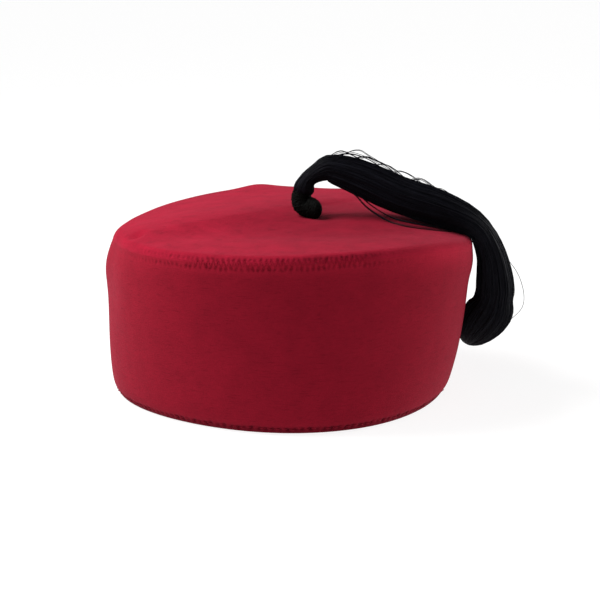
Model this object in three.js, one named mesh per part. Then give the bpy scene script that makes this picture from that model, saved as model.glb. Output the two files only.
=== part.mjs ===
// Fez hat: a low, wide cap of crimson felt with a black silk tassel knotted to its crown.
// Units are millimetres and +Z is up. The rim rests on z = 0 round the Z axis.
// The front of the cap faces -Y, and the tassel falls over its +X side.
import * as THREE from 'three';

// Felt and sewing
const FELT_THICKNESS = 2.4;
const PIECE_GAP = 0.3;

// Cap
const SEAM_HEIGHT = 97.2;
const SEAM_RADIUS = 105;
const SEAM_LEAN = 1.8;
const SEAM_TILT = 1.6;
const SHOULDER_RADIUS = 4.4;
const CROWN_RISE = 1;

// Facets
const SIDES_ROUND = 72;
const BAND_STEPS = 9;
const SHOULDER_STEPS = 3;
const CROWN_STEPS = 8;
const HANK_SIDES = 18;
const HANK_STEPS = 30;
const KNOT_SIDES = 14;
const KNOT_STEPS = 14;
const END_CROWDING = 0.6;

// Outer radius of the side band at each height: the rim curls in
const BAND_SECTIONS = [
  { height: 0, radius: 93 },
  { height: 5, radius: 96.2 },
  { height: 12, radius: 98.3 },
  { height: 24, radius: 100.6 },
  { height: 40, radius: 102.5 },
  { height: 62, radius: 104.2 },
  { height: SEAM_HEIGHT - PIECE_GAP, radius: SEAM_RADIUS },
];

// How far the plan is from a circle: waves round the cap, their height and the angle of one crest.
// seam_share is 0 for a wave that is full at the rim and 1 for one that is full at the seam.
const PLAN_WAVES = [
  { seam_share: 0, waves: 2, swell: 1.3, crest: 19 },
  { seam_share: 0, waves: 3, swell: 3.9, crest: 43 },
  { seam_share: 1, waves: 2, swell: 2, crest: 90 },
  { seam_share: 1, waves: 3, swell: 2.2, crest: -13 },
];

// Stretches of the shoulder that have sunk or risen: middle angle, half turn, drop and reach inwards
const SHOULDER_SLUMPS = [
  { angle: 158, turn: 32, drop: 6.5, reach: 50 },
  { angle: 0, turn: 24, drop: 10.8, reach: 60 },
  { angle: 78, turn: 9, drop: 2, reach: 60 },
  { angle: 100.5, turn: 4.5, drop: -2.2, reach: 40 },
];
const SLUMP_FROM_HEIGHT = 45;

// Soft bulges and hollows of the side band
const BAND_DENTS = [
  { angle: 172, height: 80, turn: 22, rise: 11, out: 3.1 },
  { angle: 188, height: 100, turn: 24, rise: 5, out: -1.2 },
  { angle: 202, height: 98, turn: 12, rise: 7, out: -1 },
  { angle: 195, height: 76, turn: 6, rise: 18, out: -1.2 },
  { angle: 0, height: 50, turn: 22, rise: 24, out: 1 },
  { angle: 0, height: 86, turn: 16, rise: 8.5, out: 2 },
  { angle: -80, height: 45, turn: 28, rise: 22, out: -0.8 },
  { angle: 215, height: 5, turn: 20, rise: 9, out: 1.6 },
];

// Folds of the crown, each along a line, with its spread on the near and far side of the line.
// One spread passes into the other across the fold's crest.
const CROWN_FOLDS = [
  { from_x: -97, from_y: -49, to_x: 5, to_y: 22, lift: 3.3, near: 9, far: 26 },
  { from_x: -50, from_y: -44, to_x: 40, to_y: -48, lift: -1.7, near: 13, far: 18 },
];
const FOLD_FADE_FROM = 88;
const FOLD_CREST = 7;

// Tassel hank along its middle: thick is across its bend and wide is along Y.
// A row with a round value is an end that closes over that share of the way to the next row.
const HANK_ROUTE = [
  { x: 10.8, y: 0, z: 119, thick: 10, wide: 10.4, round: 0.2 },
  { x: 12, y: 0, z: 124, thick: 8.4, wide: 9 },
  { x: 15.2, y: 0, z: 127.3, thick: 8.8, wide: 9.2 },
  { x: 19.8, y: 0, z: 129.9, thick: 10.8, wide: 10.4 },
  { x: 26.5, y: 0, z: 131, thick: 14.8, wide: 13 },
  { x: 43, y: -1, z: 125.8, thick: 20.2, wide: 19 },
  { x: 66, y: -3, z: 115.9, thick: 21.2, wide: 25 },
  { x: 89, y: -5, z: 108.5, thick: 18.4, wide: 28 },
  { x: 108.9, y: -3, z: 99.3, thick: 12.6, wide: 26 },
  { x: 118.4, y: 1, z: 82.4, thick: 15.2, wide: 24 },
  { x: 121.8, y: 6, z: 62.5, thick: 20.6, wide: 24 },
  { x: 121.2, y: 10.5, z: 52, thick: 22.6, wide: 24.6 },
  { x: 118.6, y: 16, z: 42.5, thick: 27, wide: 26 },
  { x: 107, y: 30, z: 19.5, thick: 22.5, wide: 22, round: 1 },
];

// Wound knot: a foot lying on the crown that turns up into a short stem
const KNOT_ROUTE = [
  { x: 20.8, y: -8, z: 108.6, thick: 10, wide: 11, round: 0.9 },
  { x: 15.6, y: -4.6, z: 108.8, thick: 10.8, wide: 11.6 },
  { x: 10.6, y: -1, z: 110, thick: 11.2, wide: 11.6 },
  { x: 9.4, y: 0, z: 114.2, thick: 10.4, wide: 10.8 },
  { x: 10.7, y: 0, z: 118.4, thick: 9.6, wide: 9.8, round: 0.2 },
];

const crownFelt = new THREE.MeshStandardMaterial({ color: '#a82c45', roughness: 0.95, metalness: 0 });
const bandFelt = new THREE.MeshStandardMaterial({ color: '#86182c', roughness: 0.95, metalness: 0 });
const woundSilk = new THREE.MeshStandardMaterial({ color: '#0b0a0d', roughness: 0.75, metalness: 0 });
const hankSilk = new THREE.MeshStandardMaterial({ color: '#121015', roughness: 0.6, metalness: 0 });

// Falls from 1 at the middle of a dent to 0 a few spreads away
function bell(distance, spread) {
  return Math.exp(-0.5 * (distance / spread) ** 2);
}

// Shortest turn between two angles, in degrees
function turnBetween(angle, other) {
  return THREE.MathUtils.euclideanModulo(angle - other + 180, 360) - 180;
}

// How far the plan waves push the wall out at an angle, from the rim (0) to the seam (1)
function planSwell(angle, seamShare) {
  let swell = 0;
  for (const wave of PLAN_WAVES) {
    const share = wave.seam_share === 1 ? seamShare : 1 - seamShare;
    const phase = THREE.MathUtils.degToRad(wave.waves * (angle - wave.crest));
    swell += share * wave.swell * Math.cos(phase);
  }
  return swell;
}

function shoulderDrop(angle, radius, height) {
  let drop = 0;
  for (const slump of SHOULDER_SLUMPS) {
    const inward = THREE.MathUtils.clamp((SEAM_RADIUS - radius) / slump.reach, 0, 1);
    drop += slump.drop * bell(turnBetween(angle, slump.angle), slump.turn) * (1 - inward) ** 2;
  }
  return drop * THREE.MathUtils.smoothstep(height, SLUMP_FROM_HEIGHT, SEAM_HEIGHT);
}

function bandPush(angle, height) {
  let push = 0;
  for (const dent of BAND_DENTS) {
    const round = bell(turnBetween(angle, dent.angle), dent.turn);
    push += dent.out * round * bell(height - dent.height, dent.rise);
  }
  return push;
}

// Lift of the crown by its folds, which fade out before the shoulder
function crownLift(x, y, radius) {
  const point = new THREE.Vector2(x, y);
  let lift = 0;
  for (const fold of CROWN_FOLDS) {
    const from = new THREE.Vector2(fold.from_x, fold.from_y);
    const line = new THREE.Vector2(fold.to_x, fold.to_y).sub(from);
    const offset = point.clone().sub(from);
    const along = THREE.MathUtils.clamp(offset.dot(line) / line.lengthSq(), 0, 1);
    const away = offset.clone().sub(line.clone().multiplyScalar(along)).length();
    const beyond = line.cross(offset) / line.length();
    const farShare = THREE.MathUtils.smoothstep(beyond, -FOLD_CREST, FOLD_CREST);
    lift += fold.lift * bell(away, THREE.MathUtils.lerp(fold.near, fold.far, farShare));
  }
  return lift * (1 - THREE.MathUtils.smoothstep(radius, FOLD_FADE_FROM, SEAM_RADIUS));
}

// Moves a turned felt piece from the round to the shape that the cap has taken in use
function shapeFelt(geometry) {
  const position = geometry.attributes.position;
  const point = new THREE.Vector3();
  const rimRadius = BAND_SECTIONS[0].radius;
  for (let i = 0; i < position.count; i += 1) {
    point.fromBufferAttribute(position, i);
    const radius = Math.hypot(point.x, point.y);
    const turn = Math.atan2(point.y, point.x);
    const angle = THREE.MathUtils.radToDeg(turn);
    const seamShare = THREE.MathUtils.clamp(point.z / SEAM_HEIGHT, 0, 1);
    const outward = Math.min(1, radius / rimRadius) ** 2;
    const shaped = radius + outward * (planSwell(angle, seamShare) + bandPush(angle, point.z));
    const lift = point.z > SEAM_HEIGHT ? crownLift(point.x, point.y, radius) : 0;
    const tilt = SEAM_TILT * seamShare * point.x / SEAM_RADIUS;
    const drop = shoulderDrop(angle, radius, point.z);
    const x = shaped * Math.cos(turn) + SEAM_LEAN * seamShare;
    position.setXYZ(i, x, shaped * Math.sin(turn), point.z + tilt + lift - drop);
  }
  return geometry;
}

// Turns a closed profile round the Z axis and shapes it
function turnFelt(profile) {
  const geometry = new THREE.LatheGeometry(profile, SIDES_ROUND);
  geometry.rotateX(Math.PI / 2);
  shapeFelt(geometry).computeVertexNormals();
  return geometry;
}

// Side band: up the outside, over the raw edge at the seam and down the inside
function makeSideBand() {
  const sections = BAND_SECTIONS.map((section) => new THREE.Vector2(section.radius, section.height));
  const outside = new THREE.SplineCurve(sections).getPoints(BAND_STEPS);
  const inside = outside.map((point) => new THREE.Vector2(point.x - FELT_THICKNESS, point.y)).reverse();
  const profile = [...outside, ...inside, outside[0].clone()];
  return turnFelt(profile);
}

// One face of the crown, inset from its outside, from the axis out over the shoulder to its raw edge
function crownFace(inset) {
  const arcMiddle = new THREE.Vector2(SEAM_RADIUS - SHOULDER_RADIUS, SEAM_HEIGHT);
  const arcRadius = SHOULDER_RADIUS - inset;
  const face = [];
  for (let step = 0; step < CROWN_STEPS; step += 1) {
    const share = step / CROWN_STEPS;
    const rise = CROWN_RISE * (1 - share ** 2);
    face.push(new THREE.Vector2(arcMiddle.x * share, arcMiddle.y + arcRadius + rise));
  }
  for (let step = 0; step <= SHOULDER_STEPS; step += 1) {
    const turn = (Math.PI / 2) * (1 - step / SHOULDER_STEPS);
    const arm = new THREE.Vector2(Math.cos(turn), Math.sin(turn)).multiplyScalar(arcRadius);
    face.push(arcMiddle.clone().add(arm));
  }
  return face;
}

function makeCrown() {
  const inside = crownFace(FELT_THICKNESS);
  const outside = crownFace(0).reverse();
  return turnFelt([...inside, ...outside]);
}

// Place of a ring along a bent form, with the rings crowded towards its round ends
function ringShare(even) {
  const crowded = 0.5 - 0.5 * Math.cos(Math.PI * even);
  return THREE.MathUtils.lerp(even, crowded, END_CROWDING);
}

// Round-ended form bent along a route whose rows give its middle, thickness and width
function bendForm(route, sides, steps) {
  const middle = new THREE.CatmullRomCurve3(route.map((row) => new THREE.Vector3(row.x, row.y, row.z)));
  const size = new THREE.CatmullRomCurve3(route.map((row) => new THREE.Vector3(row.thick, row.wide, 0)));
  const rows = route.length - 1;
  const geometry = new THREE.SphereGeometry(1, sides, steps);
  const position = geometry.attributes.position;
  const uv = geometry.attributes.uv;
  const sideways = new THREE.Vector3(0, 1, 0);
  for (let i = 0; i < position.count; i += 1) {
    const along = ringShare(1 - uv.getY(i));
    const turn = 2 * Math.PI * uv.getX(i);
    const nearEnd = along < 0.5 ? route[0] : route[rows];
    const toEnd = rows * Math.min(along, 1 - along) / nearEnd.round;
    const closing = Math.sqrt(1 - Math.max(0, 1 - toEnd) ** 2);
    const half = size.getPoint(along).multiplyScalar(closing / 2);
    const across = new THREE.Vector3().crossVectors(sideways, middle.getTangent(along)).normalize();
    const point = middle.getPoint(along);
    point.addScaledVector(across, -Math.cos(turn) * half.x);
    point.addScaledVector(sideways, Math.sin(turn) * half.y);
    position.setXYZ(i, point.x, point.y, point.z);
  }
  geometry.computeVertexNormals();
  return geometry;
}

function addPiece(group, name, geometry, material) {
  const piece = new THREE.Mesh(geometry, material);
  piece.name = name;
  group.add(piece);
}

const fez = new THREE.Group();
addPiece(fez, 'side_band', makeSideBand(), bandFelt);
addPiece(fez, 'crown', makeCrown(), crownFelt);
addPiece(fez, 'tassel_knot', bendForm(KNOT_ROUTE, KNOT_SIDES, KNOT_STEPS), woundSilk);
addPiece(fez, 'tassel', bendForm(HANK_ROUTE, HANK_SIDES, HANK_STEPS), hankSilk);

export default fez;
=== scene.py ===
import math
import random
from collections import namedtuple

import bmesh
import bpy
import numpy as np
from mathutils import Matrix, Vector, noise


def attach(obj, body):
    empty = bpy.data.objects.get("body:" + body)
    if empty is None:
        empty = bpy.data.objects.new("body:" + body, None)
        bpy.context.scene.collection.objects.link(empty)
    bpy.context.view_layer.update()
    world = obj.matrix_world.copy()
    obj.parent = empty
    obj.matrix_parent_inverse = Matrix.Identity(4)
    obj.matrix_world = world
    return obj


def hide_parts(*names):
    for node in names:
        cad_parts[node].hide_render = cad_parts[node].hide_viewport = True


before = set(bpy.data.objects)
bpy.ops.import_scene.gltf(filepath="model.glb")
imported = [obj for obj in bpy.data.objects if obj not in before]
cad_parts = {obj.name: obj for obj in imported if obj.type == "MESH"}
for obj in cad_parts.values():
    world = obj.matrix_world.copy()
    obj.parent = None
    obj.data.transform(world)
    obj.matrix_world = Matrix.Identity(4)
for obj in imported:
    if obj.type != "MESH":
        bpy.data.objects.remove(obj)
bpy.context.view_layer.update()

# A low, wide fez of crimson felt with a black silk tassel.
# Shapes are worked out in millimetres and degrees in the frame's axes, and scaled to metres when a piece
# is made.
# The rim lies on z = 0, the tassel falls over the +X side and the front faces -Y.
MM = 0.001
RANDOM_SEED = 57
draw = random.Random(RANDOM_SEED)

# How near two places are to count as touching, as one corner and as one point
TOUCHING = 0.02
SAME_CORNER = 0.002
SAME_POINT = 0.0002

# Cap
FELT_THICKNESS = 2.4
SEAM_GAP = 0.02
SEAM_HEIGHT = 97.2
SEAM_RADIUS = 105.0
SEAM_LEAN = 1.8
SEAM_TILT = 1.6
SHOULDER_RADIUS = 4.4
SHOULDER_MIDDLE = SEAM_RADIUS - SHOULDER_RADIUS
CROWN_RISE = 1.0
HEM_ROUNDING = 0.8
SEAM_ROUNDING = 0.04
ROUNDING_SEGMENTS = 3

BandSection = namedtuple("BandSection", "radius height")
BAND_SECTIONS = [
    BandSection(93.0, 0.0),
    BandSection(96.2, 5.0),
    BandSection(98.3, 12.0),
    BandSection(100.6, 24.0),
    BandSection(102.5, 40.0),
    BandSection(104.2, 62.0),
    BandSection(SEAM_RADIUS, SEAM_HEIGHT),
]

# Waves that take the plan from a circle: full at the rim where at_seam is 0, at the seam where it is 1
PlanWave = namedtuple("PlanWave", "at_seam waves swell crest")
PLAN_WAVES = [
    PlanWave(0, 2, 1.3, 19),
    PlanWave(0, 3, 3.9, 43),
    PlanWave(1, 2, 2.0, 90),
    PlanWave(1, 3, 2.2, -13),
]

# Stretches of the shoulder that have sunk or risen
Slump = namedtuple("Slump", "angle turn drop reach")
SHOULDER_SLUMPS = [
    Slump(158, 32, 6.5, 50),
    Slump(0, 24, 10.8, 60),
    Slump(78, 9, 2.0, 60),
    Slump(100.5, 4.5, -2.2, 40),
]
SLUMP_FROM_HEIGHT = 45.0

# Soft bulges and hollows of the side band
BandDent = namedtuple("BandDent", "angle height turn rise out")
BAND_DENTS = [
    BandDent(172, 80, 22, 11, 3.1),
    BandDent(188, 100, 24, 5, -1.2),
    BandDent(202, 98, 12, 7, -1.0),
    BandDent(195, 76, 6, 18, -1.2),
    BandDent(0, 50, 22, 24, 1.0),
    BandDent(0, 86, 16, 8.5, 2.0),
    BandDent(-80, 45, 28, 22, -0.8),
    BandDent(215, 5, 20, 9, 1.6),
]

# Folds of the crown along a line, with their spread on the near and the far side of it
Fold = namedtuple("Fold", "from_x from_y to_x to_y lift near far")
CROWN_FOLDS = [
    Fold(-97, -49, 5, 22, 3.3, 9, 26),
    Fold(-50, -44, 40, -48, -1.7, 13, 18),
    Fold(-93.5, -48, -87.5, -43.5, -5.6, 3.6, 3.6),
]
FOLD_FADE_FROM = 88.0
FOLD_CREST = 7.0

# Handling has left the felt slightly uneven
UNEVEN_HEIGHT = 0.22
UNEVEN_SPAN = 24.0
UNEVEN_FROM_HEIGHT = 2.0
UNEVEN_FULL_HEIGHT = 20.0

# Facets of the felt: plain rows, and finer ones where it is sewn.
# The wall's smooth outline is worked out at OUTLINE_POINTS places.
FELT_SIDES = 440
PLAIN_STEP = 2.2
SEWN_STEP = 1.5
SEWN_CUTS = 2
INSIDE_STEP = 5.0
SHOULDER_ROWS = 7
OUTLINE_POINTS = 400

# Sewing: the wide zigzag that joins crown and band, and the row along the hem.
# reach is a needle row's place along the felt, up from the seam line or from the rim.
NeedleRow = namedtuple("NeedleRow", "reach stitches shift depth across along")
SEAM_STITCHES = 225
SEAM_REACH = 2.4
SEAM_ROWS = [
    NeedleRow(SEAM_REACH, SEAM_STITCHES, 0.0, 0.5, 0.62, 0.85),
    NeedleRow(-SEAM_REACH, SEAM_STITCHES, 0.5, 0.5, 0.62, 0.85),
]
SEAM_ZONE = 5.2
HEM_STITCHES = 150
HEM_REACH = 3.1
HEM_ROWS = [NeedleRow(HEM_REACH, HEM_STITCHES, 0.0, 0.8, 0.95, 0.95)]
HEM_ZONE = 5.4

# How far a stitch strays from its even place, how much it slants, and how hard it pulls at least and at most
NEEDLE_WANDER = 0.24
NEEDLE_SLANT = 0.26
NEEDLE_PULL = (0.5, 1.15)

# Painted shade and painted highlight on the felt: how much darker it is painted in a needle pit and
# along the rim, where it curls under, and how much paler it is painted along the seam and on a stretch
# of the right shoulder. Middles and spreads are up from the seam line.
PIT_SHADE = 0.55
RIM_SHADE = 0.6
RIM_SHADE_FULL = 1.2
RIM_SHADE_NONE = 5.6
SEAM_HIGHLIGHT = 0.24
SEAM_HIGHLIGHT_MIDDLE = -1.6
SEAM_HIGHLIGHT_SPREAD = 2.8
# The paler felt colour that the painted highlight is mixed towards
HIGHLIGHT_FELT = "#c8243e"
SHOULDER_HIGHLIGHT = 0.38
SHOULDER_HIGHLIGHT_ANGLE = -35.0
SHOULDER_HIGHLIGHT_TURN = 18.0
SHOULDER_HIGHLIGHT_MIDDLE = 2.2
SHOULDER_HIGHLIGHT_ABOVE = 1.9
SHOULDER_HIGHLIGHT_BELOW = 7.5

# How strongly the seam shows round the cap: the nap has closed over it at both sides
SeamShow = namedtuple("SeamShow", "angle share")
SEAM_SHOW = [
    SeamShow(0, 0.1),
    SeamShow(40, 0.6),
    SeamShow(90, 0.8),
    SeamShow(140, 0.5),
    SeamShow(180, 0.1),
    SeamShow(212, 0.12),
    SeamShow(222, 0.35),
    SeamShow(246, 1.0),
    SeamShow(290, 1.0),
    SeamShow(300, 0.4),
    SeamShow(310, 0.12),
    SeamShow(360, 0.1),
]

# Sewing thread: the ends of each stitch sink into the felt and its middle stands out of it.
# HEM_STITCH_HALF is a share of the way from one pit to the next.
THREAD_RADIUS = 0.2
THREAD_SIDES = 4
THREAD_SINK = 0.55
THREAD_STAND = 0.05
SEAM_LEG_POINTS = 9
SEAM_LEG_BOW = 0.7
HEM_STITCH_POINTS = 7
HEM_STITCH_HALF = 0.4

# Tassel hank along its middle: thick is across its bend and wide is along Y.
# Its first row lies inside the knot, and it opens and closes round over two shares of its length.
RouteRow = namedtuple("RouteRow", "x y z thick wide")
HANK_ROUTE = [
    RouteRow(9.8, 0, 115, 8.6, 9),
    RouteRow(10.8, 0, 119, 10.8, 10.8),
    RouteRow(12.6, 0, 123.5, 8.6, 9.4),
    RouteRow(16, 0, 126.5, 8.8, 9.6),
    RouteRow(20.4, 0, 128.9, 11, 10.8),
    RouteRow(26.5, 0, 130.4, 14.8, 13),
    RouteRow(43, -1, 125.4, 19.4, 19),
    RouteRow(66, -3, 115.4, 20.2, 25),
    RouteRow(89, -5, 108.5, 18.4, 28),
    RouteRow(108.9, -3, 99.3, 12.6, 26),
    RouteRow(118.4, 1, 82.4, 15.2, 24),
    RouteRow(121.8, 6, 62.5, 20.6, 24),
    RouteRow(121.6, 10, 52, 21.2, 24.6),
    RouteRow(118.8, 15.5, 41.5, 26.4, 26),
    RouteRow(107, 30, 19.5, 22.5, 22),
]
HANK_ROUND_START = 0.02
HANK_ROUND_END = 0.06
HANK_RINGS = 90
HANK_SIDES = 28
HANK_CORE = 0.9
END_CROWDING = 1.7

# Silk of the tassel: yarns in layers between two shares of the hank's thickness, and the strands in each.
# A yarn's radius is at most YARN_SHARE of the hank's half thickness, and its middle lies YARN_SINK of that
# radius deep. Yarns and hank turn this many times along their length, times a share drawn for each.
Layer = namedtuple("Layer", "name yarns inner outer")
SILK_LAYERS = [
    Layer("tassel_inner_silk", 34, 0.9, 0.98),
    Layer("tassel_middle_silk", 34, 0.95, 1.0),
    Layer("tassel_outer_silk", 34, 0.98, 1.02),
]
STRANDS_IN_YARN = 9
STRAND_RADIUS = 0.22
STRAND_SIDES = 4
STRAND_POINTS = 52
STRAND_JITTER = 0.07
YARN_RADIUS = 1.5
YARN_SHARE = 0.2
YARN_SINK = 0.45
YARN_TURNS = 0.9
YARN_TURN_SHARES = (0.6, 1.4)
HANK_TURNS = 0.1
HANK_TURN_SHARES = (0.5, 1.5)
YARN_SWAY = 0.1

# Strands that have come away from the hank: how many follow a line of points, and how far apart they stray
Stray = namedtuple("Stray", "strands apart points")
STRAY_RADIUS = 0.16
STRAY_POINTS = 36
STRAYS = [
    Stray(2, 0.35, [(20, -2, 134.5), (26.5, -3, 138.6), (30, -3, 140.6), (34, -3, 140.7), (44, -3, 136)]),
    Stray(2, 0.3, [
        (30, -4, 137), (35.6, -4, 140), (39.5, -4, 141.4),
        (43.3, -4, 141.2), (47.2, -4, 138.6), (56, -4, 133),
    ]),
    Stray(1, 0.2, [(20, 2, 133), (29, 3, 138), (37, 4, 139), (45, 4, 137), (55, 3, 132), (66, 2, 126)]),
    Stray(4, 0.6, [(22, -2, 132), (30, -3, 138.6), (39, -3, 139.4), (49, -3, 135.8), (60, -3, 128.4)]),
    Stray(4, 0.6, [(36, 0, 135), (46, 0, 137.2), (53, 0, 135), (60, 0, 131), (68, -1, 124)]),
    Stray(4, 0.5, [(46, -4, 132), (56, -5, 133.8), (63, -5, 130.6), (70, -5, 124.4)]),
    Stray(4, 0.5, [(58, -4, 127), (66, -5, 129.4), (73, -5, 126), (81, -5, 119)]),
    Stray(4, 0.5, [(68, -4, 122.4), (77, -5, 125), (85, -5, 120.6), (94, -5, 112)]),
    Stray(3, 0.4, [(80, -4, 117), (89, -5, 119), (97, -5, 113.4), (106, -4, 104)]),
    Stray(5, 0.35, [
        (30, -5, 122.5), (39.5, -8, 117.2), (47.2, -11, 109.6), (58.8, -17, 103.2),
        (70.4, -26, 101.7), (83.9, -24, 99.4), (95, -15, 96.5),
    ]),
    Stray(4, 0.45, [
        (32, -5, 122.5), (41, -8, 117.4), (50, -10, 110), (61, -14, 104.2),
        (71, -20, 102.6), (83, -19, 100.2), (95, -12, 97.4),
    ]),
    Stray(26, 1.1, [
        (60, -6, 111), (70, -11, 105.6), (81, -14, 102.6),
        (92, -14.5, 99.2), (103, -11, 94.8), (112, -6, 88),
    ]),
    Stray(1, 0.2, [(129, 4, 76), (135, 4, 67), (138.4, 5, 56), (137.6, 6, 47), (131, 8, 39)]),
]

# Wound knot: a foot that lies on the crown and turns up into a short stem
KNOT_ROUTE = [
    RouteRow(20.8, -8, 108.0, 10.2, 11.4),
    RouteRow(15.6, -4.6, 108.2, 11.2, 12),
    RouteRow(10.6, -1, 109.7, 11.6, 12),
    RouteRow(9.4, 0, 114.2, 10.6, 11),
    RouteRow(11, 0, 119, 9.4, 9.6),
]
KNOT_ROUND_TOE = 0.2
KNOT_ROUND_TOP = 0.1
KNOT_RINGS = 34
KNOT_SIDES = 24
KNOT_CORE = 0.95
KNOT_CORD_RADIUS = 0.5
KNOT_CORD_SIDES = 6
KNOT_CORD_POINTS = 90
KNOT_CORD_WANDER = 0.2
Winding = namedtuple("Winding", "turns cords share")
KNOT_WINDINGS = [
    Winding(1.6, 13, 0.97),
    Winding(-1.6, 13, 0.97),
    Winding(4.4, 3, 0.99),
]
KNOT_WOBBLE = 0.045

# Painted shadow of the tassel on the crown, darkest round each middle: how far fully, how far at all, how
# much
TasselShadowPatch = namedtuple("TasselShadowPatch", "middle within fade share")
PAINTED_TASSEL_SHADOW = [
    TasselShadowPatch((42.0, -14.0, 103.0), 25.0, 110.0, 1.0),
    TasselShadowPatch((29.0, 12.0, 103.0), 4.0, 32.0, 0.8),
]

# Camera, at the photograph's viewing angle, with a square image
CAMERA_ELEVATION = 13.25
CAMERA_DISTANCE = 1500.0
CAMERA_TARGET = (8.54, 0.0, 53.0)
CAMERA_LENS = 155.14
SENSOR_WIDTH = 36.0

# Studio: a square soft key light near the hat, and broad far fills with their apparent width in degrees
KEY_TOWARDS = (-0.62, 0.0, 0.8)
KEY_AIM = (0.0, 0.0, 100.0)
KEY_DISTANCE = 700.0
KEY_SIZE = 380.0
KEY_WATTS = 7.6
FarLight = namedtuple("FarLight", "name towards strength width")
FAR_LIGHTS = [
    FarLight("left_fill", (-1.0, -0.05, 0.3), 1.25, 56),
    FarLight("right_fill", (1.0, 0.45, 0.2), 3.2, 50),
    FarLight("front_fill", (-0.5, -1.0, 1.2), 0.5, 60),
]
ROOM_STRENGTH = 0.06
FLOOR_GLOW = 0.85
FLOOR_HALF = 6000.0


def linear(hex_colour):
    """An sRGB hex colour as linear RGBA."""
    shares = [int(hex_colour[at:at + 2], 16) / 255 for at in (1, 3, 5)]
    lit = [share / 12.92 if share <= 0.04045 else ((share + 0.055) / 1.055) ** 2.4 for share in shares]
    return (*lit, 1.0)


def bell(distance, spread):
    """Falls from 1 at the middle of a dent to 0 a few spreads away."""
    return np.exp(-0.5 * (distance / spread) ** 2)


def turn_between(angle, other):
    """Shortest turn between two angles, in degrees."""
    return (angle - other + 180) % 360 - 180


def ease(value, low, high):
    """Rises smoothly from 0 at low to 1 at high."""
    share = np.clip((value - low) / (high - low), 0, 1)
    return share * share * (3 - 2 * share)


def even_steps(start, end, step):
    """Values from start to end, about a step apart."""
    return np.linspace(start, end, max(2, round(abs(end - start) / step) + 1))


def smooth_rows(rows, along):
    """Rows at shares of the way along a smooth curve through the rows of a table."""
    table = np.array(rows, dtype=float)
    ends = np.vstack([2 * table[0] - table[1], table, 2 * table[-1] - table[-2]])
    place = along * (len(table) - 1)
    row = np.minimum(place.astype(int), len(table) - 2)
    t = (place - row)[:, None]
    a, b, c, d = (ends[row + step] for step in range(4))
    bend = (2 * a - 5 * b + 4 * c - d) * t + (3 * b - a - 3 * c + d) * t**2
    return b + 0.5 * t * (c - a + bend)


# Felt shape

OUTLINE_RADIUS, OUTLINE_HEIGHT = smooth_rows(BAND_SECTIONS, np.linspace(0, 1, OUTLINE_POINTS)).T


def band_radius(height):
    """The wall's outer radius at a height, before it is bent out of round."""
    return np.interp(height, OUTLINE_HEIGHT, OUTLINE_RADIUS)


def plan_swell(angle, seam_share):
    """How far the plan stands out of a circle, between the rim and the seam."""
    swell = np.zeros_like(angle)
    for wave in PLAN_WAVES:
        share = seam_share if wave.at_seam else 1 - seam_share
        swell += share * wave.swell * np.cos(np.radians(wave.waves * (angle - wave.crest)))
    return swell


def shoulder_drop(angle, radius, height):
    """How far the shoulder and the felt round it have sunk."""
    drop = np.zeros_like(angle)
    for slump in SHOULDER_SLUMPS:
        inward = np.clip((SEAM_RADIUS - radius) / slump.reach, 0, 1)
        drop += slump.drop * bell(turn_between(angle, slump.angle), slump.turn) * (1 - inward) ** 2
    return drop * ease(height, SLUMP_FROM_HEIGHT, SEAM_HEIGHT)


def band_push(angle, height):
    """How far the bulges and hollows move the wall out."""
    push = np.zeros_like(angle)
    for dent in BAND_DENTS:
        share = bell(turn_between(angle, dent.angle), dent.turn) * bell(height - dent.height, dent.rise)
        push += dent.out * share
    return push


def crown_lift(x, y, radius):
    """How high the crown's folds stand, with a steep near side and a long far one."""
    lift = np.zeros_like(x)
    for fold in CROWN_FOLDS:
        line_x = fold.to_x - fold.from_x
        line_y = fold.to_y - fold.from_y
        off_x = x - fold.from_x
        off_y = y - fold.from_y
        along = np.clip((off_x * line_x + off_y * line_y) / (line_x**2 + line_y**2), 0, 1)
        away = np.hypot(off_x - along * line_x, off_y - along * line_y)
        beyond = (line_x * off_y - line_y * off_x) / math.hypot(line_x, line_y)
        far_share = ease(beyond, -FOLD_CREST, FOLD_CREST)
        lift += fold.lift * bell(away, fold.near + far_share * (fold.far - fold.near))
    return lift * (1 - ease(radius, FOLD_FADE_FROM, SEAM_RADIUS))


def shape_felt(points):
    """Moves points of the cap from the round to the shape that it has taken in use."""
    x, y, z = points.T
    radius = np.hypot(x, y)
    turn = np.arctan2(y, x)
    angle = np.degrees(turn)
    seam_share = np.clip(z / SEAM_HEIGHT, 0, 1)
    outward = np.minimum(1, radius / BAND_SECTIONS[0].radius) ** 2
    shaped = radius + outward * (plan_swell(angle, seam_share) + band_push(angle, z))
    lift = np.where(z > SEAM_HEIGHT, crown_lift(x, y, radius), 0)
    tilt = SEAM_TILT * seam_share * x / SEAM_RADIUS
    drop = shoulder_drop(angle, radius, z)
    return np.stack([
        shaped * np.cos(turn) + SEAM_LEAN * seam_share,
        shaped * np.sin(turn),
        z + tilt + lift - drop,
    ], axis=1)


def felt_outward(x, y, z):
    """Outward directions on the round cap: level on the band, from the shoulder's middle on the crown."""
    radius = np.maximum(np.hypot(x, y), TOUCHING)
    over = np.arctan2(np.maximum(z - SEAM_HEIGHT, 0), np.maximum(radius - SHOULDER_MIDDLE, 0))
    over = np.where(z > SEAM_HEIGHT, over, 0)
    return np.stack([np.cos(over) * x / radius, np.cos(over) * y / radius, np.sin(over)], axis=1)


def seam_show(angle):
    """How strongly the seam shows at an angle round the cap."""
    return np.interp(angle % 360, [row.angle for row in SEAM_SHOW], [row.share for row in SEAM_SHOW])


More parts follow.
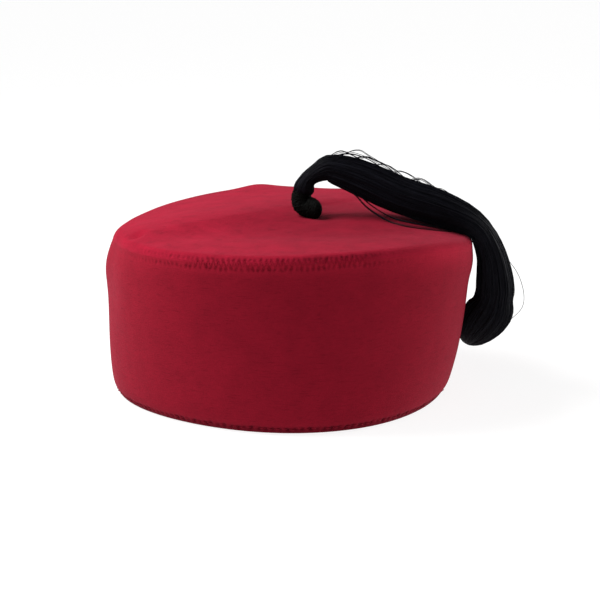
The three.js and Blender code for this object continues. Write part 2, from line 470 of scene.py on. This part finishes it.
def needle_marks(row):
    """How deep each stitch has pulled, how far it is off its even place and how it slants."""
    return {
        "pull": np.array([draw.uniform(*NEEDLE_PULL) for _ in range(row.stitches)]),
        "round": np.array([draw.gauss(0, NEEDLE_WANDER) for _ in range(row.stitches)]),
        "up": np.array([draw.gauss(0, NEEDLE_WANDER) for _ in range(row.stitches)]),
        "slant": np.array([draw.gauss(0, NEEDLE_SLANT) for _ in range(row.stitches)]),
    }


seam_marks = [needle_marks(row) for row in SEAM_ROWS]
hem_marks = [needle_marks(row) for row in HEM_ROWS]
for row, mark in zip(SEAM_ROWS, seam_marks):
    mark["pull"] *= seam_show((np.arange(row.stitches) + row.shift) * 360 / row.stitches)


def needle_pits(x, y, up, rows, marks):
    """How far into a pit that the needle pulled each point is, from 0 to 1, and how deep that sinks it."""
    around = np.degrees(np.arctan2(y, x)) % 360 / 360
    girth = 2 * math.pi * np.hypot(x, y)
    share = np.zeros_like(around)
    depth = np.zeros_like(around)
    for row, mark in zip(rows, marks):
        place = around * row.stitches - row.shift
        nearest = np.round(place).astype(int)
        for neighbour in (nearest - 1, nearest, nearest + 1):
            stitch = neighbour % row.stitches
            rise = up - row.reach - mark["up"][stitch]
            aside = (place - neighbour) * girth / row.stitches
            aside = aside - mark["round"][stitch] - mark["slant"][stitch] * rise
            pit = mark["pull"][stitch] * bell(aside, row.across) * bell(rise, row.along)
            share = np.maximum(share, pit)
            depth = np.maximum(depth, row.depth * pit)
    return share, depth


def painted_highlight(x, y, up):
    """How much paler the felt is painted, as painted highlight, along the seam and on a stretch of the right
    shoulder.
    """
    angle = np.degrees(np.arctan2(y, x))
    seam_light = SEAM_HIGHLIGHT * seam_show(angle) * bell(up - SEAM_HIGHLIGHT_MIDDLE, SEAM_HIGHLIGHT_SPREAD)
    shoulder_light_spread = np.where(up > SHOULDER_HIGHLIGHT_MIDDLE, SHOULDER_HIGHLIGHT_ABOVE, SHOULDER_HIGHLIGHT_BELOW)
    shoulder_light = SHOULDER_HIGHLIGHT * bell(turn_between(angle, SHOULDER_HIGHLIGHT_ANGLE), SHOULDER_HIGHLIGHT_TURN) * bell(up - SHOULDER_HIGHLIGHT_MIDDLE, shoulder_light_spread)
    return np.maximum(seam_light, shoulder_light)


# Mesh making

def spin_profile(profile, closed):
    """A bmesh turned round the Z axis from a profile of (radius, height) points."""
    bm = bmesh.new()
    verts = [bm.verts.new((radius, 0, height)) for radius, height in profile]
    pairs = list(zip(verts, verts[1:]))
    if closed:
        pairs.append((verts[-1], verts[0]))
    edges = [bm.edges.new(pair) for pair in pairs]
    bmesh.ops.spin(
        bm, geom=verts + edges, cent=(0, 0, 0), axis=(0, 0, 1), angle=2 * math.pi,
        steps=FELT_SIDES, use_merge=True, use_duplicate=False,
    )
    bmesh.ops.remove_doubles(bm, verts=bm.verts, dist=SAME_POINT)
    bmesh.ops.recalc_face_normals(bm, faces=bm.faces)
    return bm


def round_corners(bm, corners, rounding):
    """Rounds the cut edges of the felt, given as (radius, height) corners of its profile."""
    def at_corner(vert, corner):
        away = math.hypot(math.hypot(vert.co.x, vert.co.y) - corner[0], vert.co.z - corner[1])
        return away < SAME_CORNER

    loops = [
        edge for edge in bm.edges
        if any(all(at_corner(vert, corner) for vert in edge.verts) for corner in corners)
    ]
    bmesh.ops.bevel(
        bm, geom=loops, offset=rounding, offset_type="OFFSET", affect="EDGES",
        segments=ROUNDING_SEGMENTS, profile=0.5, material=-1,
    )


def refine(bm, sewn):
    """Cuts the faces of a sewn zone finer, so that the needle's pits have a shape."""
    inside = {vert: sewn(vert.co) for vert in bm.verts}
    zone = [edge for edge in bm.edges if all(inside[vert] for vert in edge.verts)]
    bmesh.ops.subdivide_edges(bm, edges=zone, cuts=SEWN_CUTS, use_grid_fill=True)


def press_felt(bm, pits):
    """Sinks the needle pits, gives the felt its used shape and stores its painted shade and highlight as
    shade.
    """
    points = np.array([vert.co for vert in bm.verts])
    shade, depth = pits(*points.T)
    uneven = UNEVEN_HEIGHT * np.array([noise.noise(Vector(point) / UNEVEN_SPAN) for point in points])
    uneven *= ease(points[:, 2], UNEVEN_FROM_HEIGHT, UNEVEN_FULL_HEIGHT)
    points = points + felt_outward(*points.T) * (uneven - depth)[:, None]
    shade_layer = bm.verts.layers.float.new("shade")
    for vert, place, value in zip(bm.verts, shape_felt(points) * MM, shade):
        vert.co = place
        vert[shade_layer] = value


def mesh_from(name, bm):
    """A mesh made from a bmesh, which is then done with."""
    mesh = bpy.data.meshes.new(name)
    bm.to_mesh(mesh)
    bm.free()
    return mesh


def thread_mesh(name, routes, radius, sides):
    """One mesh of round threads along routes of points in mm, with an even number of sides from 4."""
    curve = bpy.data.curves.new(name, "CURVE")
    curve.dimensions = "3D"
    curve.bevel_depth = radius * MM
    curve.bevel_resolution = (sides - 4) // 2
    curve.use_fill_caps = True
    for route in routes:
        spline = curve.splines.new("POLY")
        spline.points.add(len(route) - 1)
        spline.points.foreach_set("co", np.c_[route * MM, np.ones(len(route))].ravel())
    holder = bpy.data.objects.new(name, curve)
    bpy.context.scene.collection.objects.link(holder)
    mesh = bpy.data.meshes.new_from_object(holder)
    bpy.data.objects.remove(holder)
    bpy.data.curves.remove(curve)
    return mesh


def add_piece(name, mesh, material, slot, *nodes):
    """Makes a finished piece that rides on the hat and stands for the CAD nodes given."""
    piece = bpy.data.objects.new(name, mesh)
    bpy.context.scene.collection.objects.link(piece)
    mesh.materials.clear()
    mesh.materials.append(material)
    mesh.shade_smooth()
    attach(piece, "root")
    if nodes:
        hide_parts(*nodes)
    return piece


# Cap pieces

def side_band(material):
    """The felt wall, with finer rows at the hem and under the seam, and a plain inside."""
    top = SEAM_HEIGHT - SEAM_GAP
    heights = np.concatenate([
        even_steps(0, HEM_ZONE, SEWN_STEP)[:-1],
        even_steps(HEM_ZONE, top - SEAM_ZONE, PLAIN_STEP)[:-1],
        even_steps(top - SEAM_ZONE, top, SEWN_STEP),
    ])
    outside = [(band_radius(height), height) for height in heights]
    inside = [(band_radius(height) - FELT_THICKNESS, height) for height in even_steps(top, 0, INSIDE_STEP)]
    bm = spin_profile(outside + inside, closed=True)
    round_corners(bm, [outside[0], inside[-1]], HEM_ROUNDING)
    round_corners(bm, [outside[-1], inside[0]], SEAM_ROUNDING)

    def outer_face(x, y, z):
        """Whether points lie on the outside of the wall."""
        return np.hypot(x, y) > band_radius(z) - FELT_THICKNESS / 2

    def sewn(place):
        near_stitches = place.z < HEM_ZONE + TOUCHING or place.z > top - SEAM_ZONE - TOUCHING
        return near_stitches and outer_face(*place)

    def pits(x, y, z):
        """Painted shade at each point of the wall, below 0 where it is painted highlight, and how deep it is
        sunk.
        """
        seam_share, seam_depth = needle_pits(x, y, z - SEAM_HEIGHT, SEAM_ROWS, seam_marks)
        hem_share, hem_depth = needle_pits(x, y, z, HEM_ROWS, hem_marks)
        seen = outer_face(x, y, z)
        # Painted shade in the needle pits, less the painted highlight along the seam and the right shoulder
        shade = PIT_SHADE * np.maximum(seam_share, hem_share) - painted_highlight(x, y, z - SEAM_HEIGHT)
        # Painted shade along the rim, where it curls under
        shade = shade + RIM_SHADE * (1 - ease(z, RIM_SHADE_FULL, RIM_SHADE_NONE))
        return shade * seen, np.maximum(seam_depth, hem_depth) * seen

    refine(bm, sewn)
    press_felt(bm, pits)
    return add_piece("band_felt", mesh_from("band_felt", bm), material, "band_felt", "side_band")


def crown_face(inset, step):
    """One face of the crown from the axis out, over the shoulder and down to its cut edge."""
    arc = SHOULDER_RADIUS - inset
    shares = even_steps(0, SHOULDER_MIDDLE, step)[:-1] / SHOULDER_MIDDLE
    top = [(SHOULDER_MIDDLE * share, SEAM_HEIGHT + arc + CROWN_RISE * (1 - share**2)) for share in shares]
    turns = np.linspace(math.pi / 2, 0, SHOULDER_ROWS)
    shoulder = [
        (SHOULDER_MIDDLE + arc * math.cos(turn), SEAM_HEIGHT + arc * math.sin(turn))
        for turn in turns
    ]
    return top + shoulder


def crown(material):
    """The felt disc with its turned-down shoulder, sewn along its edge."""
    inside = crown_face(FELT_THICKNESS, INSIDE_STEP)
    outside = crown_face(0, PLAIN_STEP)
    bm = spin_profile(inside + outside[::-1], closed=False)
    round_corners(bm, [inside[-1], outside[-1]], SEAM_ROUNDING)

    def on_shoulder(x, y, z):
        """Whether points lie on the outside of the shoulder."""
        out = np.hypot(x, y) - SHOULDER_MIDDLE
        outer = np.hypot(out, z - SEAM_HEIGHT) > SHOULDER_RADIUS - FELT_THICKNESS / 2
        return outer & (out > -TOUCHING)

    def sewn(place):
        return on_shoulder(*place)

    def pits(x, y, z):
        """Painted shade at each point of the crown, below 0 where it is painted highlight, and how deep it
        is sunk.
        """
        out = np.maximum(np.hypot(x, y) - SHOULDER_MIDDLE, SAME_CORNER)
        up = SHOULDER_RADIUS * np.arctan2(np.maximum(z - SEAM_HEIGHT, 0), out)
        share, depth = needle_pits(x, y, up, SEAM_ROWS, seam_marks)
        seen = on_shoulder(x, y, z)
        # Painted shade in the needle pits, less the painted highlight along the seam and the right shoulder
        shade = PIT_SHADE * share - painted_highlight(x, y, up)
        return shade * seen, depth * seen

    refine(bm, sewn)
    press_felt(bm, pits)
    return add_piece("crown_felt", mesh_from("crown_felt", bm), material, "crown_felt", "crown")


def near_seam(angle, up, out):
    """Points by the seam: up along the felt from the seam line, and out of its face."""
    turn = np.radians(angle)
    over = np.maximum(up, 0) / SHOULDER_RADIUS
    arm = SHOULDER_RADIUS + out
    radius = np.where(up > 0, SHOULDER_MIDDLE + arm * np.cos(over), band_radius(SEAM_HEIGHT + up) + out)
    height = SEAM_HEIGHT + np.where(up > 0, arm * np.sin(over), up)
    return shape_felt(np.stack([radius * np.cos(turn), radius * np.sin(turn), height], axis=1))


def seam_threads(material):
    """The zigzag thread, outside and inside: each leg dives into a pit above the seam and one below it."""
    pitch = 360 / SEAM_STITCHES
    steps = np.linspace(0, 1, SEAM_LEG_POINTS)
    bow = np.sin(np.pi * steps) ** SEAM_LEG_BOW
    outside = (THREAD_SINK + THREAD_STAND) * bow - THREAD_SINK
    inside = -FELT_THICKNESS - THREAD_STAND * bow
    legs = []
    for stitch in range(SEAM_STITCHES):
        for half, side in ((0, 1), (1, -1)):
            angle = (stitch + (half + steps) / 2) * pitch
            up = side * SEAM_REACH * (1 - 2 * steps)
            sunk = THREAD_SINK * (1 - seam_show(angle))
            legs.append(near_seam(angle, up, outside - sunk))
            legs.append(near_seam(angle, up, inside))
    mesh = thread_mesh("seam_threads", legs, THREAD_RADIUS, THREAD_SIDES)
    return add_piece("seam_threads", mesh, material, "band_felt")


def hem_threads(material):
    """Short stitches along the hem, each from one pit to the next."""
    pitch = 360 / HEM_STITCHES
    steps = np.linspace(-1, 1, HEM_STITCH_POINTS)
    stitches = []
    for stitch, rise in enumerate(hem_marks[0]["up"]):
        turn = np.radians((stitch + 0.5 + HEM_STITCH_HALF * steps) * pitch)
        radius = band_radius(HEM_REACH) + THREAD_STAND - THREAD_SINK * steps**2
        height = np.full_like(turn, HEM_REACH + rise)
        stitches.append(shape_felt(np.stack([radius * np.cos(turn), radius * np.sin(turn), height], axis=1)))
    mesh = thread_mesh("hem_threads", stitches, THREAD_RADIUS, THREAD_SIDES)
    return add_piece("hem_threads", mesh, material, "band_felt")


# Tassel pieces

SIDEWAYS = np.array([0.0, 1.0, 0.0])
Bundle = namedtuple("Bundle", "middle across half_thick half_wide")


def bundle_along(route, along, opens_by, closes_by):
    """A bent bundle's middle, its direction across the bend and its half sizes, at shares of its length.

    It opens round over a first share of its length and closes round over a last one.
    """
    x, y, z, thick, wide = smooth_rows(route, along).T
    middle = np.stack([x, y, z], axis=1)
    across = np.cross(SIDEWAYS, np.gradient(middle, axis=0))
    across /= np.linalg.norm(across, axis=1)[:, None]
    opening = np.minimum(1, along / opens_by)
    closing = np.minimum(1, (1 - along) / closes_by)
    size = np.sqrt((1 - (1 - opening) ** 2) * (1 - (1 - closing) ** 2))
    return Bundle(middle, across, thick / 2 * size, wide / 2 * size)


def crowded(count):
    """Shares of the way along the hank, closer together towards its round end."""
    return 1 - np.linspace(1, 0, count) ** END_CROWDING


def bundle_points(bundle, turn, share):
    """Points at a turn round the bundle and a share of the way out from its middle."""
    out = np.cos(turn) * share * bundle.half_thick
    aside = np.sin(turn) * share * bundle.half_wide
    return bundle.middle - out[:, None] * bundle.across + aside[:, None] * SIDEWAYS


def bundle_core(bundle, sides, share):
    """The dense middle of a bundle: a sphere whose rings become the bundle's sections."""
    last_ring = len(bundle.middle) - 1
    bm = bmesh.new()
    bmesh.ops.create_uvsphere(bm, u_segments=sides, v_segments=last_ring, radius=1)
    for vert in bm.verts:
        ring = round(math.acos(max(-1, min(1, vert.co.z))) / math.pi * last_ring)
        turn = math.atan2(vert.co.y, vert.co.x)
        section = Bundle(*(part[ring:ring + 1] for part in bundle))
        vert.co = bundle_points(section, np.array([turn]), share)[0] * MM
    bmesh.ops.recalc_face_normals(bm, faces=bm.faces)
    return bm


def tassel_core(material):
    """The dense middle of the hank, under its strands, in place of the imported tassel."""
    hank = bundle_along(HANK_ROUTE, crowded(HANK_RINGS), HANK_ROUND_START, HANK_ROUND_END)
    bm = bundle_core(hank, HANK_SIDES, HANK_CORE)
    add_piece("tassel_core", mesh_from("tassel_core", bm), material, "tassel_silk", "tassel")


def tassel_silk(layer, material):
    """Yarns of loosely twisted strands, laid round the hank between two shares of its thickness."""
    along = crowded(STRAND_POINTS)
    hank = bundle_along(HANK_ROUTE, along, HANK_ROUND_START, HANK_ROUND_END)
    yarn_radius = np.minimum(YARN_RADIUS, YARN_SHARE * hank.half_thick)
    yarn_lay = 1 - YARN_SINK * yarn_radius / np.maximum(hank.half_thick, YARN_RADIUS)
    routes = []
    for yarn in range(layer.yarns):
        phase = draw.uniform(0, 2 * math.pi)
        turn = 2 * math.pi * (yarn + draw.random()) / layer.yarns
        turn = turn + 2 * math.pi * HANK_TURNS * draw.uniform(*HANK_TURN_SHARES) * along
        turn = turn + YARN_SWAY * np.sin(2 * math.pi * along + phase)
        middle = bundle_points(hank, turn, yarn_lay * draw.uniform(layer.inner, layer.outer))
        for strand in range(STRANDS_IN_YARN):
            twist = YARN_TURNS * draw.uniform(*YARN_TURN_SHARES) * along
            lay = phase + 2 * math.pi * (strand / STRANDS_IN_YARN + twist)
            spread = yarn_radius * math.sqrt(draw.random())
            jitter = np.array([draw.gauss(0, STRAND_JITTER) for _ in along])
            out = spread * np.cos(lay) + jitter
            aside = spread * np.sin(lay)
            routes.append(middle + out[:, None] * hank.across + aside[:, None] * SIDEWAYS)
    mesh = thread_mesh(layer.name, routes, STRAND_RADIUS, STRAND_SIDES)
    add_piece(layer.name, mesh, material, "tassel_silk")


def stray_silk(material):
    """Single strands that stand away from the hank."""
    along = np.linspace(0, 1, STRAY_POINTS)
    routes = []
    for stray in STRAYS:
        for _ in range(stray.strands):
            start, end = np.array([[draw.gauss(0, stray.apart) for _ in range(3)] for _ in range(2)])
            route = smooth_rows(stray.points, along)
            routes.append(route + start + along[:, None] * (end - start))
    mesh = thread_mesh("tassel_stray_silk", routes, STRAY_RADIUS, STRAND_SIDES)
    add_piece("tassel_stray_silk", mesh, material, "tassel_silk")


def tassel_knot(material):
    """The wound root of the tassel: a soft core under a cord wound along it and back."""
    form = bundle_along(KNOT_ROUTE, np.linspace(0, 1, KNOT_RINGS), KNOT_ROUND_TOE, KNOT_ROUND_TOP)
    bm = bundle_core(form, KNOT_SIDES, KNOT_CORE)
    add_piece("knot_core", mesh_from("knot_core", bm), material, "knot_silk", "tassel_knot")

    along = np.linspace(0, 1, KNOT_CORD_POINTS)
    lay = bundle_along(KNOT_ROUTE, along, KNOT_ROUND_TOE, KNOT_ROUND_TOP)
    cords = []
    for winding in KNOT_WINDINGS:
        for cord in range(winding.cords):
            start = cord + draw.uniform(-KNOT_CORD_WANDER, KNOT_CORD_WANDER)
            turn = 2 * math.pi * (winding.turns * along + start / winding.cords)
            wave = winding.turns * winding.cords * along + cord / 2
            wobble = 1 + KNOT_WOBBLE * np.cos(2 * math.pi * wave)
            cords.append(bundle_points(lay, turn, winding.share * wobble))
    mesh = thread_mesh("knot_winding", cords, KNOT_CORD_RADIUS, KNOT_CORD_SIDES)
    add_piece("knot_winding", mesh, material, "knot_silk")


# Finishes

def in_use(sockets, name):
    """The socket with a name that the node's settings leave in use."""
    return next(socket for socket in sockets if socket.name == name and socket.enabled)


def add_node(tree, kind, settings=None, links=None):
    """Adds a node, sets its properties and sockets by name, and links outputs or nodes to its sockets."""
    node = tree.nodes.new(kind)
    for name, value in (settings or {}).items():
        if hasattr(node, name):
            setattr(node, name, value)
        else:
            in_use(node.inputs, name).default_value = value
    for name, source in (links or {}).items():
        output = source if isinstance(source, bpy.types.NodeSocket) else source.outputs[0]
        tree.links.new(output, in_use(node.inputs, name))
    return node


def start_material(name):
    """A material with an empty node tree and its place on the piece, in metres."""
    material = bpy.data.materials.new(name)
    material.use_nodes = True
    tree = material.node_tree
    tree.nodes.clear()
    return material, tree, add_node(tree, "ShaderNodeTexCoord").outputs["Object"]


def wool_felt(name, dark, light, pit, slub_shade, painted_shadow):
    """Dyed wool felt, made flat in a press: matte, softly mottled, paler where it turns away and its sheen
    shows.

    Short level slubs lie in it, drawn about twice as thick as real ones so that they show. A painted shadow
    of the tassel darkens the crown round it, and the shade attribute holds painted shade in needle pits and
    along the rim above 0, and painted highlight along the seam and the right shoulder below 0. Lengths are
    in mm.
    """
    material, tree, place = start_material(name)
    slub_length = 5.5
    slub_height = 0.5
    slub_starts = 0.56
    slub_is_full = 0.74
    mottle_span = 13.0
    fibre_span = 0.9
    fibre_share = 0.5
    fuzz_height = 0.35
    fuzz_strength = 0.5
    nap_tint = "#e88aa0"
    flat = 1 / (slub_length * MM)
    slub_place = add_node(
        tree, "ShaderNodeMapping", {"Scale": (flat, flat, 1 / (slub_height * MM))}, {"Vector": place})
    slubs = add_node(
        tree, "ShaderNodeTexNoise", {"Scale": 1.0, "Detail": 2.0, "Roughness": 0.5}, {"Vector": slub_place})
    mottle = add_node(
        tree, "ShaderNodeTexNoise", {"Scale": 1 / (mottle_span * MM), "Detail": 4.0, "Roughness": 0.6},
        {"Vector": place})
    fibres = add_node(
        tree, "ShaderNodeTexNoise", {"Scale": 1 / (fibre_span * MM), "Detail": 3.0, "Roughness": 0.65},
        {"Vector": place})
    uneven_dye = add_node(
        tree, "ShaderNodeMix", {"data_type": "FLOAT", "Factor": fibre_share}, {"A": mottle, "B": fibres})
    dye = add_node(
        tree, "ShaderNodeMix", {"data_type": "RGBA", "A": linear(dark), "B": linear(light)},
        {"Factor": uneven_dye})
    slub_share = add_node(
        tree, "ShaderNodeMapRange",
        {"From Min": slub_starts, "From Max": slub_is_full, "To Max": slub_shade},
        {"Value": slubs})
    slubbed = add_node(
        tree, "ShaderNodeMix", {"data_type": "RGBA", "B": linear(pit)},
        {"Factor": slub_share, "A": dye.outputs[2]})
    shadowed = slubbed
    # Painted shadow of the tassel: the colour is mixed towards the pit colour round each middle
    for shadow_patch in PAINTED_TASSEL_SHADOW:
        away = add_node(tree, "ShaderNodeVectorMath", {"operation": "DISTANCE"}, {"Vector": place})
        away.inputs[1].default_value = Vector(shadow_patch.middle) * MM
        shadow_share = add_node(
            tree, "ShaderNodeMapRange",
            {"interpolation_type": "SMOOTHSTEP", "From Min": shadow_patch.within * MM, "From Max": shadow_patch.fade * MM,
             "To Min": painted_shadow * shadow_patch.share, "To Max": 0.0},
            {"Value": away.outputs["Value"]})
        shadowed = add_node(
            tree, "ShaderNodeMix", {"data_type": "RGBA", "B": linear(pit)},
            {"Factor": shadow_share, "A": shadowed.outputs[2]})
    # Painted shade from the shade attribute, in needle pits and along the rim: mixed towards the pit colour
    shade = add_node(tree, "ShaderNodeAttribute", {"attribute_name": "shade"})
    shaded = add_node(
        tree, "ShaderNodeMix", {"data_type": "RGBA", "B": linear(pit)},
        {"Factor": shade.outputs["Fac"], "A": shadowed.outputs[2]})
    # Painted highlight where the shade attribute is below 0, along the seam and the right shoulder: mixed
    # towards the paler felt colour
    highlight_share = add_node(
        tree, "ShaderNodeMapRange", {"From Min": 0.0, "From Max": -1.0}, {"Value": shade.outputs["Fac"]})
    colour = add_node(
        tree, "ShaderNodeMix", {"data_type": "RGBA", "B": linear(HIGHLIGHT_FELT)},
        {"Factor": highlight_share, "A": shaded.outputs[2]})
    relief = add_node(tree, "ShaderNodeMath", {"operation": "ADD"})
    tree.links.new(fibres.outputs[0], relief.inputs[0])
    tree.links.new(slubs.outputs[0], relief.inputs[1])
    fuzz = add_node(
        tree, "ShaderNodeBump", {"Strength": fuzz_strength, "Distance": fuzz_height * MM},
        {"Height": relief})
    shader = add_node(
        tree, "ShaderNodeBsdfPrincipled",
        {"Roughness": 0.95, "Specular IOR Level": 0.05, "Sheen Weight": 0.1, "Sheen Roughness": 0.4,
         "Sheen Tint": linear(nap_tint)},
        {"Base Color": colour.outputs[2], "Normal": fuzz})
    add_node(tree, "ShaderNodeOutputMaterial", None, {"Surface": shader})
    return material


def silk_yarn(name, dark, light, roughness, gloss):
    """Silk floss dyed nearly black: a soft gloss along its strands, and slight unevenness in its dye."""
    material, tree, place = start_material(name)
    dye_span = 5.0
    roughness_spread = 0.08
    dye_noise = add_node(
        tree, "ShaderNodeTexNoise", {"Scale": 1 / (dye_span * MM), "Detail": 3.0, "Roughness": 0.7},
        {"Vector": place})
    dye = add_node(
        tree, "ShaderNodeMix", {"data_type": "RGBA", "A": linear(dark), "B": linear(light)},
        {"Factor": dye_noise})
    smoothness = add_node(
        tree, "ShaderNodeMapRange",
        {"To Min": roughness - roughness_spread, "To Max": roughness + roughness_spread},
        {"Value": dye_noise})
    shader = add_node(
        tree, "ShaderNodeBsdfPrincipled", {"Specular IOR Level": gloss},
        {"Base Color": dye.outputs[2], "Roughness": smoothness})
    add_node(tree, "ShaderNodeOutputMaterial", None, {"Surface": shader})
    return material


def floor_paper(name):
    """Matte white paper with a trace of grain, lit from beneath so that shadows on it stay pale."""
    material, tree, place = start_material(name)
    grain_span = 40.0
    paper_dark = "#888888"
    paper_light = "#8a8a8a"
    glow = "#ffffff"
    grain = add_node(
        tree, "ShaderNodeTexNoise", {"Scale": 1 / (grain_span * MM), "Detail": 2.0}, {"Vector": place})
    tone = add_node(
        tree, "ShaderNodeMix", {"data_type": "RGBA", "A": linear(paper_dark), "B": linear(paper_light)},
        {"Factor": grain})
    shader = add_node(
        tree, "ShaderNodeBsdfPrincipled",
        {"Roughness": 1.0, "Specular IOR Level": 0.0, "Emission Color": linear(glow),
         "Emission Strength": FLOOR_GLOW},
        {"Base Color": tone.outputs[2]})
    add_node(tree, "ShaderNodeOutputMaterial", None, {"Surface": shader})
    return material


# Studio

def studio_floor():
    """A wide sheet of paper that the hat stands on."""
    bm = bmesh.new()
    bmesh.ops.create_grid(bm, x_segments=1, y_segments=1, size=FLOOR_HALF * MM)
    mesh = mesh_from("studio_floor", bm)
    floor = bpy.data.objects.new("studio_floor", mesh)
    mesh.materials.append(floor_paper("floor_paper"))
    bpy.context.scene.collection.objects.link(floor)


def place_light(light, towards, distance):
    """Sets a light up in a direction from the hat, facing it."""
    lamp = bpy.data.objects.new(light.name, light)
    away = Vector(towards).normalized()
    lamp.location = (Vector(KEY_AIM) + distance * away) * MM
    lamp.rotation_euler = away.to_track_quat("Z", "Y").to_euler()
    bpy.context.scene.collection.objects.link(lamp)


def studio_lights():
    """The key light and the far fills."""
    key = bpy.data.lights.new("key", "AREA")
    key.energy = KEY_WATTS
    key.size = KEY_SIZE * MM
    place_light(key, KEY_TOWARDS, KEY_DISTANCE)
    for row in FAR_LIGHTS:
        fill = bpy.data.lights.new(row.name, "SUN")
        fill.energy = row.strength
        fill.angle = math.radians(row.width)
        place_light(fill, row.towards, KEY_DISTANCE)


def studio_room():
    """A dim even light from all round."""
    world = bpy.data.worlds.new("studio_room")
    world.use_nodes = True
    tree = world.node_tree
    tree.nodes.clear()
    room = add_node(
        tree, "ShaderNodeBackground", {"Color": linear("#ffffff"), "Strength": ROOM_STRENGTH})
    add_node(tree, "ShaderNodeOutputWorld", None, {"Surface": room})
    bpy.context.scene.world = world


def studio_camera():
    """A long lens in front of the hat, a little above it."""
    elevation = math.radians(CAMERA_ELEVATION)
    view = bpy.data.cameras.new("studio_camera")
    view.lens = CAMERA_LENS
    view.sensor_width = SENSOR_WIDTH
    camera = bpy.data.objects.new("studio_camera", view)
    back = Vector((0, -math.cos(elevation), math.sin(elevation)))
    camera.location = (Vector(CAMERA_TARGET) + CAMERA_DISTANCE * back) * MM
    camera.rotation_euler = (math.pi / 2 - elevation, 0, 0)
    bpy.context.scene.collection.objects.link(camera)
    bpy.context.scene.camera = camera


studio_camera()
studio_lights()
studio_room()
studio_floor()
bpy.context.scene.view_settings.view_transform = "Standard"

# pit is the dark colour of the slubs, which painted shade and the painted tassel shadow also mix towards;
# only the crown has the painted tassel shadow
band_wool = wool_felt(
    "side_band_wool_felt", dark="#6a0e1d", light="#96162a", pit="#44020e",
    slub_shade=0.3, painted_shadow=0.0)
crown_wool = wool_felt(
    "crown_wool_felt", dark="#540a16", light="#b21b36", pit="#3e010b",
    slub_shade=0.2, painted_shadow=0.32)
# The sewing thread has matted into the felt, so it has the felt's finish without the slubs
sewing_thread = wool_felt(
    "cotton_sewing_thread", dark="#7e1121", light="#8c1427", pit="#3a050d",
    slub_shade=0.0, painted_shadow=0.0)
hank_silk = silk_yarn("tassel_silk_floss", dark="#08080b", light="#16161e", roughness=0.56, gloss=0.06)
knot_silk = silk_yarn("knot_silk_cord", dark="#020202", light="#080907", roughness=0.7, gloss=0.04)

band_piece = side_band(band_wool)
crown_piece = crown(crown_wool)
seam_piece = seam_threads(sewing_thread)
hem_piece = hem_threads(sewing_thread)
tassel_knot(knot_silk)
tassel_core(hank_silk)
for silk_layer in SILK_LAYERS:
    tassel_silk(silk_layer, hank_silk)
stray_silk(hank_silk)
